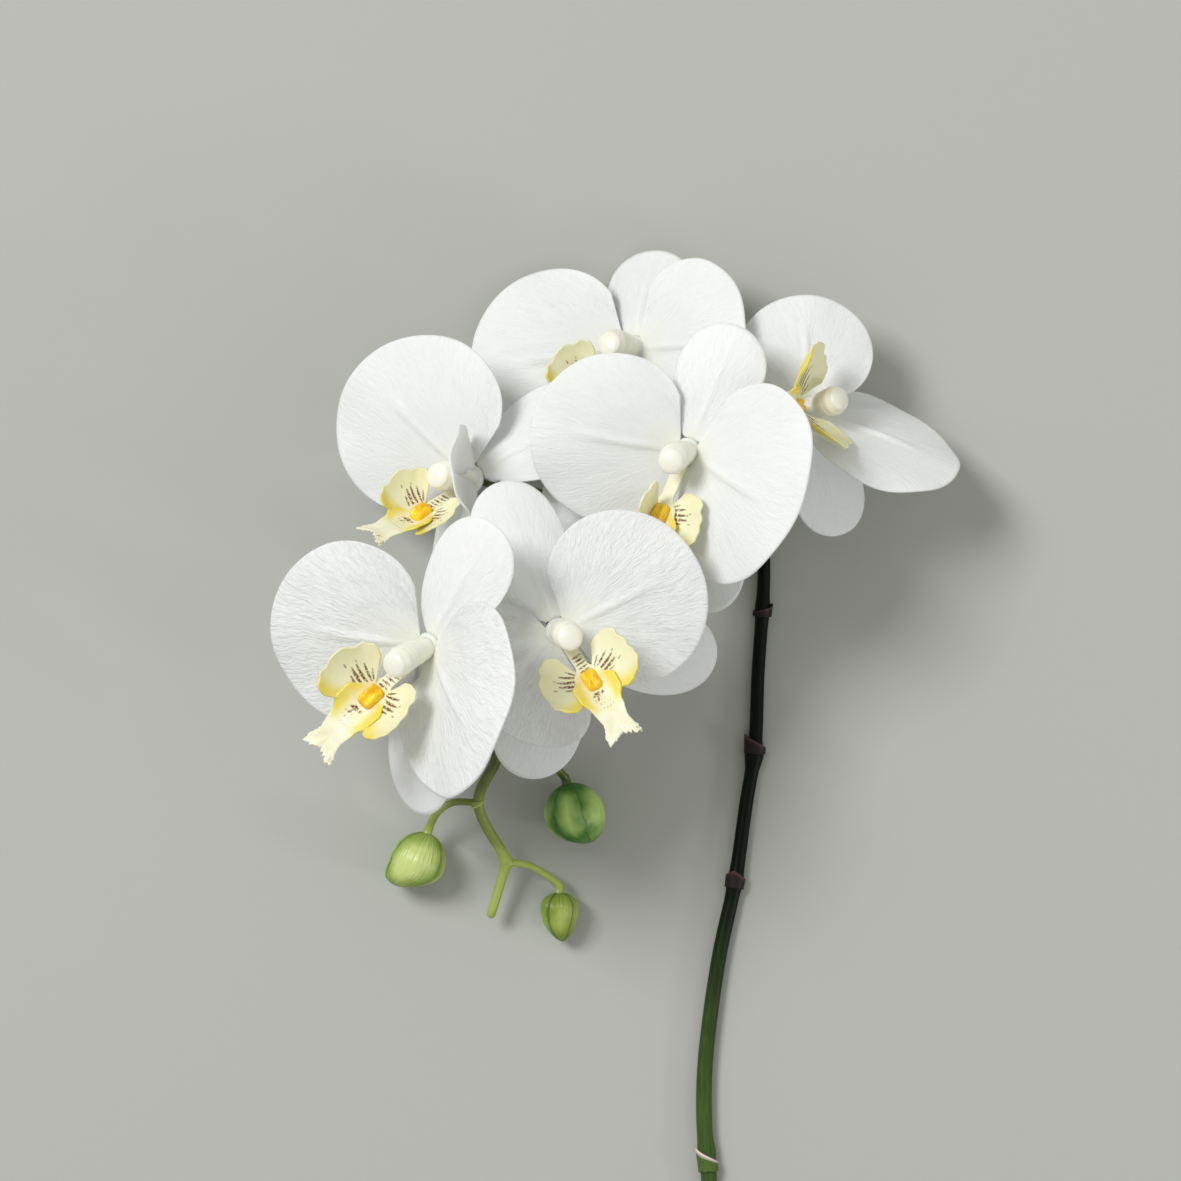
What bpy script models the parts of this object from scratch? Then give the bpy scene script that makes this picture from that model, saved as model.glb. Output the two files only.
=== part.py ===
"""A cut spray of white moth orchid laid on a surface, blooms facing up: one stem with three buds,
and six blooms of two petals, three sepals, a lip and a column each. Metres, +Z up, stem along Y."""
import math

import bmesh
import bpy
from mathutils import Matrix, Vector

MM = 0.001

# Driving sizes, in mm
PETAL_LENGTH = 57.0
PETAL_THICK = 0.8
SEPAL_LENGTH = 56.0
SEPAL_WIDTH = 31.0
SEPAL_THICK = 0.8
LIP_LENGTH = 48.0
CALLUS_AT = 22.0
LIP_START = 3.2
LIP_THICK = 0.9
COLUMN_HEIGHT = 19.0
COLUMN_BEND = 2.4
HUB_RADIUS = 4.5
HUB_DEPTH = 6.0
PEG_RADIUS = 1.8
STALK_RADIUS = 1.25
CLEAR = 0.3

# Where the blades start: mm out from a bloom's middle, and heights of their backs over its seat.
# The sepals come first, round the hub's edge, and the petals are laid over them.
SEPAL_START = HUB_RADIUS + CLEAR
PETAL_START = 3.0
SEPAL_SEAT = CLEAR
PETAL_SEAT = SEPAL_SEAT + SEPAL_THICK + CLEAR
LIP_SEAT = PETAL_SEAT + PETAL_THICK + CLEAR

# The part's origin, under the middle of its box, in mm from the middle of the drawing plane
ORIGIN = Vector((9.8, -100.9, 0.0))

# The blooms. place is the seat in mm. face is how far the bloom leans from straight up, as a
# slope to the right and to the top of the drawing. top is the dorsal sepal's heading in degrees.
# lip is degrees turned sideways, degrees lifted forward, size, mm that its end curls forward, the
# degrees that its right and left side lobes rise, and their size. Each blade has degrees round
# from the dorsal side, counter-clockwise as the bloom is seen from the front, degrees lifted
# forward, degrees of twist, length and width.
BLOOMS = {
    "a": {
        "place": (-56.3, -19.5, 80),
        "face": (-0.7, -0.3),
        "top": 62,
        "lip": (-7, 40, 1.05, 2, 22, 21, 0.96),
        "petal_left": (115, 20, 0, 0.97, 0.97),
        "petal_right": (-89, 33, 0, 0.99, 1.05),
        "sepal_dorsal": (3, -4, 0, 0.84, 1.0),
        "sepal_left": (141, -2, 8, 1.0, 1.0),
        "sepal_right": (-163, -4, 8, 1.13, 1.0),
    },
    "b": {
        "place": (-11, -14.5, 74),
        "face": (0.15, 0.0),
        "top": 116,
        "lip": (1, 37, 1.0, 4, 9, 16, 0.95),
        "petal_left": (102, -20, 0, 0.68, 1.0),
        "petal_right": (-88, 14, 0, 0.9, 0.9),
        "sepal_dorsal": (-4, -5, 0, 0.93, 1.0),
        "sepal_left": (144, -27, 8, 1.0, 1.0),
        "sepal_right": (-127, -6, 8, 0.97, 1.0),
    },
    "c": {
        "place": (-42, 39.5, 40),
        "face": (-0.65, 0.15),
        "top": 43,
        "lip": (20, 42, 0.95, 15, 34, 16, 0.88),
        "petal_left": (93, 26, 0, 0.96, 0.97),
        "petal_right": (-44, 78, 14, 0.55, 0.5),
        "sepal_dorsal": (-2, -18, 0, 0.9, 1.1),
        "sepal_left": (120, -3.5, 8, 1.0, 1.0),
        "sepal_right": (-150, -18, 8, 0.9, 1.0),
    },
    "d": {
        "place": (15.7, 86.7, 20),
        "face": (-0.5, 0.2),
        "top": 82,
        "lip": (-30, 22, 0.85, 0, 34, 4, 1.05),
        "petal_left": (104, 22, 0, 0.98, 0.98),
        "petal_right": (-84, 5, 0, 0.74, 0.93),
        "sepal_dorsal": (3, -9, 0, 0.63, 1.0),
        "sepal_left": (138, -1, 8, 0.75, 1.0),
        "sepal_right": (-164, -5, 8, 0.9, 1.0),
    },
    "e": {
        "place": (34.5, 49.1, 54),
        "face": (-0.3, -0.1),
        "top": 66,
        "lip": (7, 20, 1.0, -10, 65, 1, 0.8),
        "petal_left": (104, 18, 0, 0.93, 0.87),
        "petal_right": (-90, 28, 0, 0.9, 1.06),
        "sepal_dorsal": (4, -4, 0, 0.77, 1.0),
        "sepal_left": (137, -6, 8, 1.03, 1.0),
        "sepal_right": (-150, -4, 8, 0.96, 1.0),
    },
    "f": {
        "place": (76, 64.3, 33),
        "face": (1.0, 0.3),
        "top": 12,
        "lip": (-3, 31, 0.79, 0, 18, 22, 1.5),
        "petal_left": (81, 8, -42, 0.67, 0.7),
        "petal_right": (-44, 38, -22, 0.98, 0.75),
        "sepal_dorsal": (-10, -6, 0, 0.62, 0.8),
        "sepal_left": (192, -84, 0, 0.42, 0.7),
        "sepal_right": (-83, 4, 8, 0.74, 1.05),
    },
}

# The stem from its cut end to its tip: x, y, z and radius, mm
MAIN_PATH = [
    (50, -325, 2.9, 2.9),
    (47, -290, 2.9, 2.9),
    (44.5, -250, 2.9, 2.9),
    (43.1, -214.6, 2.9, 2.9),
    (41.3, -192, 2.9, 2.9),
    (42, -168, 2.8, 2.8),
    (46.5, -134.5, 2.7, 2.7),
    (52.5, -106, 2.7, 2.6),
    (56.5, -78, 2.7, 2.5),
    (59.8, -57, 2.7, 2.5),
    (60.9, -30, 2.8, 2.4),
    (62.6, -5, 3, 2.4),
    (63, 12, 4, 2.3),
    (62, 30, 5.5, 2.3),
    (57, 47, 7, 2.3),
    (46, 57, 9, 2.2),
    (30, 55, 11, 2.1),
    (10, 46, 13, 2.0),
    (-10, 33, 15, 2.0),
    (-24, 15, 17, 1.9),
    (-31, -8, 20, 1.9),
    (-34.5, -30, 22, 1.8),
    (-35, -48, 22, 1.8),
    (-33.7, -60, 21, 1.8),
    (-40.6, -76.7, 17, 1.8),
    (-30.3, -98.3, 12, 1.7),
    (-36.4, -118.7, 9, 1.4),
]

# Each bloom's stalk: the point of the stem that it leaves from, a point in mm that it bends by, and
# how far it runs straight behind its bloom
STALKS = {
    "a": (21, (-56.5, -23, 57), 10),
    "b": (19, (-16, -8, 45), 14),
    "c": (18, (-28, 38, 22), 14),
    "d": (16, (24, 76, 8), 14),
    "e": (15, (45, 52, 28), 14),
    "f": (14, (64, 58, 16), 14),
}

# The bud stalks: which point of the stem each leaves from and the points it runs through, mm
BUD_STALKS = {
    "1": (24, [(-49.5, -76.5, 16), (-55.5, -80.5, 14.5)]),
    "2": (23, [(-24, -60.5, 20), (-14.5, -62.7, 18)]),
    "3": (25, [(-22.5, -99.5, 11), (-15.5, -103.5, 9.5)]),
}

# The buds: middle, length, width and the heading of the end that is not on its stalk, degrees
BUDS = {
    "1": ((-62.4, -98.2, 10.9), 20.6, 21.4, 252),
    "2": ((-5.8, -81.0, 12.0), 23.0, 22.0, 285),
    "3": ((-11.2, -118.4, 7.2), 18.0, 13.8, 272),
}

# How far a bud's free end points down, as a slope
BUD_DROOP = 0.05

# Places of the bracts along the stem, mm, and how long each sleeve is. A sleeve's radius at its
# lower and upper ends, and how far it stands above the stem's middle, mm
BRACTS = [(62.4, -9, 6), (59.9, -59, 8), (52.6, -106, 7), (42.2, -206, 12)]
BRACT_RADII = (2.7, 3.7)
BRACT_RISE = 1.1


def clear_scene():
    for ob in list(bpy.data.objects):
        bpy.data.objects.remove(ob, do_unlink=True)


def material(name, colour, roughness):
    mat = bpy.data.materials.new(name)
    mat.use_nodes = True
    bsdf = mat.node_tree.nodes["Principled BSDF"]
    bsdf.inputs["Base Color"].default_value = (*colour, 1)
    bsdf.inputs["Roughness"].default_value = roughness
    bsdf.inputs["Metallic"].default_value = 0
    return mat


def new_object(name, bm, mat, parent=None):
    """A named object from a bmesh in mm, shaded smooth."""
    bmesh.ops.scale(bm, vec=(MM, MM, MM), verts=bm.verts)
    mesh = bpy.data.meshes.new(name)
    bm.to_mesh(mesh)
    bm.free()
    mesh.shade_smooth()
    mesh.materials.append(mat)
    ob = bpy.data.objects.new(name, mesh)
    ob.parent = parent
    bpy.context.collection.objects.link(ob)
    return ob


def sheet(across, along, point):
    """A bmesh grid whose corners run over t in -1..1 and u in 0..1, each put at point(t, u). It is
    split into triangles here, so that a thickness added later has both faces split alike."""
    bm = bmesh.new()
    bmesh.ops.create_grid(bm, x_segments=across, y_segments=along, size=1)
    for vert in bm.verts:
        vert.co = point(vert.co.x, (vert.co.y + 1) / 2)
    bmesh.ops.triangulate(bm, faces=bm.faces)
    return bm


def thicken(ob, thickness):
    solidify = ob.modifiers.new("Thickness", "SOLIDIFY")
    solidify.thickness = thickness * MM
    solidify.offset = 1
    solidify.use_even_offset = False


def smooth_step(value):
    value = min(max(value, 0), 1)
    return value * value * (3 - 2 * value)


# A petal: the angle its rim spreads to each side, the width of its claw, and how far it is cupped
# along its middle, arched back at its sides and waved at its rim, mm
PETAL_SPREAD = math.radians(82)
PETAL_CLAW = 5.0
PETAL_CUP = 4.0
PETAL_ARCH = 9.0
PETAL_WAVE = 0.9


def petal_point(t, u):
    """The back of a petal. Its rim is a broad kidney round the claw, and its sides arch back."""
    angle = t * PETAL_SPREAD
    reach = PETAL_LENGTH * math.cos(0.95 * angle) ** 0.6
    rim = Vector((reach * math.sin(angle), reach * math.cos(angle), 0))
    claw = Vector((t * PETAL_CLAW / 2, 0, 0))
    place = claw.lerp(rim, u**0.8)
    side = place.x / PETAL_LENGTH
    out = place.y / PETAL_LENGTH
    away = smooth_step(place.length / PETAL_LENGTH * 1.6)
    place.z = away * (PETAL_CUP * out * (1 - 2 * out) - PETAL_ARCH * side * side)
    place.z += PETAL_WAVE * u**3 * math.sin(5 * angle + 1)
    return place


# A sepal: the angle its rim runs to each side, the width of its claw, and how far it is arched
# across and bent back along its length, mm
SEPAL_END = math.radians(166)
SEPAL_CLAW = 3.6
SEPAL_ARCH = 2.2
SEPAL_BEND = 5.0


def sepal_point(t, u):
    """The back of a sepal. Its rim is a blunt ellipse, a little wider past the middle."""
    angle = t * SEPAL_END
    rim = Vector((SEPAL_WIDTH / 2 * math.sin(angle) * (1 + 0.22 * math.cos(angle)), 0, 0))
    rim.y = SEPAL_LENGTH / 2 * (1 + math.cos(angle))
    claw = Vector((t * SEPAL_CLAW / 2, 0, 0))
    place = claw.lerp(rim, u)
    side = place.x / (SEPAL_WIDTH / 2)
    out = place.y / SEPAL_LENGTH
    place.z = -SEPAL_ARCH * side * side * smooth_step(out * 2) - SEPAL_BEND * out * out
    return place


# Squares across and along each kind of blade
PETAL_GRID = (12, 5)
SEPAL_GRID = (12, 3)


def blade(name, kind, settings, mat, empty):
    """One petal or sepal, seated round the bloom's middle and turned as its settings say."""
    around, lift, twist, length, width = settings
    is_petal = kind == "petal"
    bm = sheet(*PETAL_GRID, petal_point) if is_petal else sheet(*SEPAL_GRID, sepal_point)
    bmesh.ops.scale(bm, vec=(width, length, 1), verts=bm.verts)
    ob = new_object(name, bm, mat, empty)
    thicken(ob, PETAL_THICK if is_petal else SEPAL_THICK)
    start = PETAL_START if is_petal else SEPAL_START
    seat = SEPAL_SEAT
    if is_petal:
        seat = PETAL_SEAT + PETAL_CLAW / 2 * abs(math.sin(math.radians(twist)))
    heading = Matrix.Rotation(math.radians(around), 3, "Z")
    ob.location = heading @ Vector((0, start, seat)) * MM
    ob.rotation_mode = "YXZ"
    ob.rotation_euler = (math.radians(lift), math.radians(twist), math.radians(around))
    return ob


def join_all(name, pieces, mat, parent=None):
    """One closed body from several overlapping objects, by a Boolean union that is applied."""
    group = bpy.data.collections.new(name + "_pieces")
    bpy.context.scene.collection.children.link(group)
    base = pieces[0]
    for piece in pieces[1:]:
        bpy.context.collection.objects.unlink(piece)
        group.objects.link(piece)
    union = base.modifiers.new("Union", "BOOLEAN")
    union.operation = "UNION"
    union.operand_type = "COLLECTION"
    union.collection = group
    union.solver = "EXACT"
    depsgraph = bpy.context.evaluated_depsgraph_get()
    mesh = bpy.data.meshes.new_from_object(base.evaluated_get(depsgraph))
    mesh.materials.clear()
    mesh.materials.append(mat)
    joined = bpy.data.objects.new(name, mesh)
    joined.parent = parent
    bpy.context.collection.objects.link(joined)
    for piece in pieces:
        bpy.data.objects.remove(piece, do_unlink=True)
    bpy.data.collections.remove(group)
    return joined


# Half the width of the lip's floor at distances from its seat: claw, waist at the callus, middle
# lobe and its frayed end
LIP_WIDTHS = [(0, 2.4), (14, 2.4), (20, 5.4), (25, 8.2), (30, 8.0), (35, 5.8), (40, 4.8), (48, 6.4)]

# The lip's floor, mm: how far it arches, how far its end drops, how deep the end's cut is, and how
# steeply its sides curl up
LIP_ARCH = 2.0
LIP_DROP = 3.5
LIP_CUT = 2.5
LIP_CURL = 0.06

# A side lobe: mm from its root to its rim, degrees that its middle points back of sideways, degrees
# it spreads each way from there, and by how many degrees more it rises at its rim than at its root
WING_REACH = 17.5
WING_HEADING = -9
WING_SPREAD = 46
WING_RISE = 18
WING_ROOT = Vector((2.0, CALLUS_AT + 1.0, 2.4))

# The callus between the side lobes: half its sizes and its height over the floor, mm
CALLUS_SIZE = (3.6, 5.2, 3.2)
CALLUS_HEIGHT = 3.6


def between(knots, spot):
    """The value at spot along (spot, value) knots, eased between them."""
    for (start, low), (end, high) in zip(knots, knots[1:]):
        if spot <= end:
            return low + (high - low) * smooth_step((spot - start) / (end - start))
    return knots[-1][1]


def lip_floor_point(forward):
    """The lip's claw and middle lobe, from its seat to the frayed end, which is cut in two."""

    def point(t, u):
        along = u * LIP_LENGTH
        end = smooth_step((u - 0.75) * 4)
        x = t * between(LIP_WIDTHS, along)
        curl = LIP_CURL * x * x * smooth_step((0.85 - u) * 4)
        z = LIP_ARCH * math.sin(math.pi * u) - LIP_DROP * end + curl
        z += forward * max(2 * u - 1, 0) ** 1.5
        return Vector((x, along - LIP_CUT * end * (1 - abs(t)) ** 2, z))

    return point


def lip_wing_point(side, root_rise, lobe_size):
    """A side lobe: a rounded fan that spreads back from beside the callus and curls forward."""

    def point(t, u):
        angle = math.radians(WING_HEADING + WING_SPREAD * t)
        reach = lobe_size * WING_REACH * (1 - 0.12 * t * t) * u
        rise = math.radians(root_rise + WING_RISE * u)
        x = WING_ROOT.x + 0.6 * t + reach * math.cos(angle) * math.cos(rise)
        y = WING_ROOT.y + 4.0 * t + reach * math.sin(angle) * (0.75 + 0.25 * math.cos(rise))
        return Vector((side * x, y, WING_ROOT.z + reach * math.sin(rise)))

    return point


def lip(bloom, mat, empty, settings):
    turn, lift, size, forward, right_rise, left_rise, lobe_size = settings
    floor = new_object(bloom + "_lip_floor", sheet(4, 8, lip_floor_point(forward)), mat)
    thicken(floor, LIP_THICK)
    pieces = [floor]
    for name, side, rise in (("left", -1, left_rise), ("right", 1, right_rise)):
        bm = sheet(5, 3, lip_wing_point(side, rise, lobe_size))
        if side < 0:
            bmesh.ops.reverse_faces(bm, faces=bm.faces)
        wing = new_object(bloom + "_lip_wing_" + name, bm, mat)
        thicken(wing, LIP_THICK)
        pieces.append(wing)
    callus_bm = bmesh.new()
    bmesh.ops.create_icosphere(callus_bm, subdivisions=1, radius=1)
    bmesh.ops.scale(callus_bm, vec=CALLUS_SIZE, verts=callus_bm.verts)
    bmesh.ops.translate(callus_bm, vec=(0, CALLUS_AT, CALLUS_HEIGHT), verts=callus_bm.verts)
    pieces.append(new_object(bloom + "_lip_callus", callus_bm, mat))
    joined = join_all(bloom + "_lip", pieces, mat, empty)
    joined.data.transform(Matrix.Scale(size, 4))
    heading = Matrix.Rotation(math.radians(180 + turn), 3, "Z")
    joined.location = heading @ Vector((0, LIP_START, LIP_SEAT)) * MM
    joined.rotation_mode = "YXZ"
    joined.rotation_euler = (math.radians(lift), 0, math.radians(180 + turn))
    return joined


# The column's outline from its foot to its top: radius and height, mm
COLUMN_PROFILE = [(2.0, 0.0), (2.2, 5.0), (2.8, 9.0), (4.8, 11.5), (5.4, 14.5), (4.2, 17.6), (1.6, 19.0)]


def column(bloom, mat, empty):
    """The pale knob in the middle of the bloom, turned from a profile and bent over the lip."""
    bm = bmesh.new()
    rim = [bm.verts.new((radius, 0, height)) for radius, height in COLUMN_PROFILE]
    edges = [bm.edges.new(pair) for pair in zip(rim, rim[1:])]
    bmesh.ops.spin(
        bm, geom=rim + edges, cent=(0, 0, 0), axis=(0, 0, 1), angle=math.tau, steps=10,
        use_duplicate=False
    )
    bmesh.ops.remove_doubles(bm, verts=bm.verts, dist=0.001)
    bmesh.ops.holes_fill(bm, edges=[edge for edge in bm.edges if edge.is_boundary], sides=0)
    bmesh.ops.recalc_face_normals(bm, faces=bm.faces)
    for vert in bm.verts:
        vert.co.y -= COLUMN_BEND * (vert.co.z / COLUMN_HEIGHT) ** 2
    ob = new_object(bloom + "_column", bm, mat, empty)
    ob.location = Vector((0, 0, LIP_SEAT)) * MM
    return ob


def tube(name, points, radii, sides, mat):
    """A closed tube through points in mm, as a bevelled curve turned into a mesh."""
    curve = bpy.data.curves.new(name, "CURVE")
    curve.dimensions = "3D"
    curve.bevel_depth = MM
    curve.bevel_resolution = (sides - 4) // 2
    curve.use_fill_caps = True
    spline = curve.splines.new("POLY")
    spline.points.add(len(points) - 1)
    for spot, place, radius in zip(spline.points, points, radii):
        spot.co = (*((Vector(place) - ORIGIN) * MM), 1)
        spot.radius = radius
    guide = bpy.data.objects.new(name + "_curve", curve)
    bpy.context.collection.objects.link(guide)
    depsgraph = bpy.context.evaluated_depsgraph_get()
    mesh = bpy.data.meshes.new_from_object(guide.evaluated_get(depsgraph))
    bpy.data.objects.remove(guide, do_unlink=True)
    mesh.materials.clear()
    mesh.materials.append(mat)
    ob = bpy.data.objects.new(name, mesh)
    bpy.context.collection.objects.link(ob)
    return ob


def smooth_path(points, steps):
    """Points of a smooth curve through the given ones, by Catmull-Rom spans."""
    ends = [points[0]] + list(points) + [points[-1]]
    spots = [Vector(p) for p in ends]
    path = []
    for before, start, end, after in zip(spots, spots[1:], spots[2:], spots[3:]):
        for step in range(steps):
            t = step / steps
            rise = (end - before) * t
            bend = (2 * before - 5 * start + 4 * end - after) * t * t
            ease = (3 * start - before - 3 * end + after) * t**3
            path.append((2 * start + rise + bend + ease) / 2)
    path.append(spots[-1])
    return path


def bloom_frame(settings):
    """The place of the bloom's seat: +Z is the way it faces and +Y is its dorsal side."""
    facing = Vector((settings["face"][0], settings["face"][1], 1)).normalized()
    heading = math.radians(settings["top"])
    up = Vector((math.cos(heading), math.sin(heading), 0))
    up.z = -(up.x * facing.x + up.y * facing.y) / facing.z
    up.normalize()
    turn = Matrix((up.cross(facing), up, facing)).transposed()
    place = (Vector(settings["place"]) - ORIGIN) * MM
    return Matrix.Translation(place) @ turn.to_4x4()


def build_bloom(letter, settings, white, cream, ivory):
    name = "bloom_" + letter
    empty = bpy.data.objects.new(name, None)
    bpy.context.collection.objects.link(empty)
    empty.matrix_world = bloom_frame(settings)
    for part in ("petal_left", "petal_right", "sepal_dorsal", "sepal_left", "sepal_right"):
        blade(name + "_" + part, part.split("_")[0], settings[part], white, empty)
    lip(name, cream, empty, settings["lip"])
    column(name, ivory, empty)


def hub(letter, mat):
    """The flared end of a bloom's stalk: a seat for the blades and a peg up to the column."""
    bm = bmesh.new()
    bmesh.ops.create_cone(
        bm, cap_ends=True, segments=8, radius1=STALK_RADIUS, radius2=HUB_RADIUS, depth=HUB_DEPTH
    )
    bmesh.ops.translate(bm, vec=(0, 0, -HUB_DEPTH / 2), verts=bm.verts)
    seat = new_object(letter + "_hub", bm, mat)
    peg_top = LIP_SEAT - CLEAR
    peg_bm = bmesh.new()
    bmesh.ops.create_cone(
        peg_bm, cap_ends=True, segments=8, radius1=PEG_RADIUS, radius2=PEG_RADIUS, depth=peg_top + 1
    )
    bmesh.ops.translate(peg_bm, vec=(0, 0, (peg_top - 1) / 2), verts=peg_bm.verts)
    peg = new_object(letter + "_peg", peg_bm, mat)
    for piece in (seat, peg):
        piece.matrix_world = bloom_frame(BLOOMS[letter])
    return [seat, peg]


def stalk_path(letter):
    """A bloom stalk: it leaves the stem, bends by its own point and meets the hub square on."""
    start, bend, straight = STALKS[letter]
    frame = bloom_frame(BLOOMS[letter])
    facing = Vector(frame.col[2][:3])
    seat = Vector(BLOOMS[letter]["place"])
    return [MAIN_PATH[start][:3], bend, seat - facing * straight, seat - facing * (HUB_DEPTH - 1)]


def sleeve(index, place, length, mat):
    """A bract: a short sleeve that widens towards the tip of the stem."""
    near = min(MAIN_PATH, key=lambda spot: (Vector(spot[:2]) - Vector(place)).length)
    after = MAIN_PATH[MAIN_PATH.index(near) + 1]
    heading = (Vector(after[:3]) - Vector(near[:3])).normalized()
    bm = bmesh.new()
    low, high = BRACT_RADII
    bmesh.ops.create_cone(bm, cap_ends=True, segments=8, radius1=low, radius2=high, depth=length)
    ob = new_object("bract_" + str(index), bm, mat)
    ob.rotation_mode = "QUATERNION"
    ob.rotation_quaternion = heading.to_track_quat("Z", "Y")
    ob.location = (Vector((*place, near[2] + BRACT_RISE)) - ORIGIN) * MM
    return ob


def bud_direction(heading):
    """The way a bud points, from its stalk to its free end, a little downwards."""
    turn = math.radians(heading)
    return Vector((math.cos(turn), math.sin(turn), -BUD_DROOP)).normalized()


def build_stem(green):
    """The stem, its stalks, hubs and bracts, joined into one body."""
    path = smooth_path([spot[:3] for spot in MAIN_PATH], 2)
    radii = [radius.x for radius in smooth_path([(spot[3], 0, 0) for spot in MAIN_PATH], 2)]
    pieces = [tube("stem_main", path, radii, 8, green)]
    for letter in BLOOMS:
        path = smooth_path(stalk_path(letter), 4)
        pieces.append(tube("stalk_" + letter, path, [STALK_RADIUS] * len(path), 6, green))
        pieces += hub(letter, green)
    for number, (start, bends) in BUD_STALKS.items():
        middle, length, _, heading = BUDS[number]
        direction = bud_direction(heading)
        end = Vector(middle) - direction * (length / 2 + CLEAR)
        path = smooth_path([MAIN_PATH[start][:3]] + bends + [end - direction * 3, end], 3)
        pieces.append(tube("bud_stalk_" + number, path, [STALK_RADIUS] * len(path), 6, green))
    for index, (x, y, length) in enumerate(BRACTS):
        pieces.append(sleeve(index, (x, y), length, green))
    return join_all("stem", pieces, green)


def bud(number, mat):
    """A closed bud: a fat drop with its rounded end on the stalk."""
    middle, length, width, heading = BUDS[number]
    bm = bmesh.new()
    bmesh.ops.create_uvsphere(bm, u_segments=12, v_segments=8, radius=1)
    for vert in bm.verts:
        radius = width / 2 * (1 - 0.22 * smooth_step(vert.co.z))
        vert.co = Vector((vert.co.x * radius, vert.co.y * radius, vert.co.z * length / 2))
    ob = new_object("bud_" + number, bm, mat)
    ob.rotation_mode = "QUATERNION"
    ob.rotation_quaternion = bud_direction(heading).to_track_quat("Z", "Y")
    ob.location = (Vector(middle) - ORIGIN) * MM
    return ob


def main():
    clear_scene()
    white = material("Petal white", (0.86, 0.87, 0.86), 0.55)
    cream = material("Lip cream", (0.80, 0.72, 0.30), 0.5)
    ivory = material("Column ivory", (0.82, 0.80, 0.68), 0.45)
    green = material("Stem green", (0.05, 0.13, 0.03), 0.5)
    bud_green = material("Bud green", (0.33, 0.46, 0.07), 0.45)
    for letter, settings in BLOOMS.items():
        build_bloom(letter, settings, white, cream, ivory)
    for number in BUDS:
        bud(number, bud_green)
    build_stem(green)


main()
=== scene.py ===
"""A cut spray of white moth orchid lying on a pale surface, seen from straight above."""
import math
import random

import bmesh
import bpy
from mathutils import Euler, Matrix, Vector, noise


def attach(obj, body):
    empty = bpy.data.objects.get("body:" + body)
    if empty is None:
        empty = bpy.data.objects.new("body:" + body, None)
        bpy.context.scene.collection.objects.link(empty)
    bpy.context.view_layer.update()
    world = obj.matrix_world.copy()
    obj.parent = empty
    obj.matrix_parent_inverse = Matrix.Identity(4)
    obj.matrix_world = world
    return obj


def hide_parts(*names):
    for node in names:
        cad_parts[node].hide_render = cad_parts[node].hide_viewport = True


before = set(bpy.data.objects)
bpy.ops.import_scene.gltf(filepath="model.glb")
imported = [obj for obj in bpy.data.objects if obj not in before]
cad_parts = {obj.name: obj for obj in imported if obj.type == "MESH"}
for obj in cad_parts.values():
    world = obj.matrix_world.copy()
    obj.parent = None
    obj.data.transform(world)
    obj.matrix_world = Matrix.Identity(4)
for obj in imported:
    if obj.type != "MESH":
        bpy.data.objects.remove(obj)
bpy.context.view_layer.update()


# The main stem
# The thick round stalk of the spray, bare between its nodes: cut square at its foot, green there
# and nearly black higher up, with a waxy skin. It is one grown piece with the green end after it.

MM = 0.001
# The part's origin in the drawing, in mm: x is right, y is up the picture and z is toward the eye
ORIGIN = Vector((9.8, -100.9, 0.0))
# Points along the middle of the stem, from its foot to its tip: x, y and z, and the stem's radius
MAIN_PATH = [
    (50, -325, 2.9, 2.9), (47, -290, 2.9, 2.9), (44.5, -250, 2.9, 2.9), (43.1, -214.6, 2.9, 2.9),
    (41.3, -192, 2.9, 2.9), (42, -168, 2.8, 2.8), (46.5, -134.5, 2.7, 2.7), (52.5, -106, 2.7, 2.6),
    (56.5, -78, 2.7, 2.5), (59.8, -57, 2.7, 2.5), (60.9, -30, 2.8, 2.4), (62.6, -5, 3, 2.4),
    (63, 12, 4, 2.3), (62, 30, 5.5, 2.3), (57, 47, 7, 2.3), (46, 57, 9, 2.2), (30, 55, 11, 2.1),
    (10, 46, 13, 2.0), (-10, 33, 15, 2.0), (-24, 15, 17, 1.9), (-31, -8, 20, 1.9),
    (-34.5, -30, 22, 1.8), (-35, -48, 22, 1.8), (-33.7, -60, 21, 1.8), (-40.6, -76.7, 17, 1.8),
    (-30.3, -98.3, 12, 1.7), (-36.4, -118.7, 9, 1.4),
]
# The point where the dark stem turns into the green end
DARK_END = 15
# The stem's nodes: x, y and how far each swells, and how far the swelling reaches, mm
STEM_NODES = [(62.4, -7, 0.5), (59.9, -60, 1.1), (52.8, -106, 0.6), (42, -204, 0.5)]
NODE_REACH = 3.2
# Steps of a smooth path from one of its points to the next
PATH_STEPS = 8


def linear(code):
    """An sRGB hex colour as the linear colour that a shader takes."""
    parts = [int(code[at : at + 2], 16) / 255 for at in (0, 2, 4)]
    return (*[p / 12.92 if p <= 0.04045 else ((p + 0.055) / 1.055) ** 2.4 for p in parts], 1)


def finish(name, **sockets):
    """A named material, with its shader's plain values on its own sockets."""
    mat = bpy.data.materials.new(name)
    mat.use_nodes = True
    shader = mat.node_tree.nodes["Principled BSDF"]
    for socket, value in sockets.items():
        shader.inputs[socket.replace("_", " ")].default_value = value
    return mat, shader


def node(mat, kind, sockets, **settings):
    """Adds a node to a material, with its settings, and its values or links by socket."""
    made = mat.node_tree.nodes.new("ShaderNode" + kind)
    for name, value in settings.items():
        setattr(made, name, value)
    for name, value in sockets.items():
        if isinstance(value, bpy.types.NodeSocket):
            mat.node_tree.links.new(value, made.inputs[name])
        else:
            made.inputs[name].default_value = value
    return made


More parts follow.
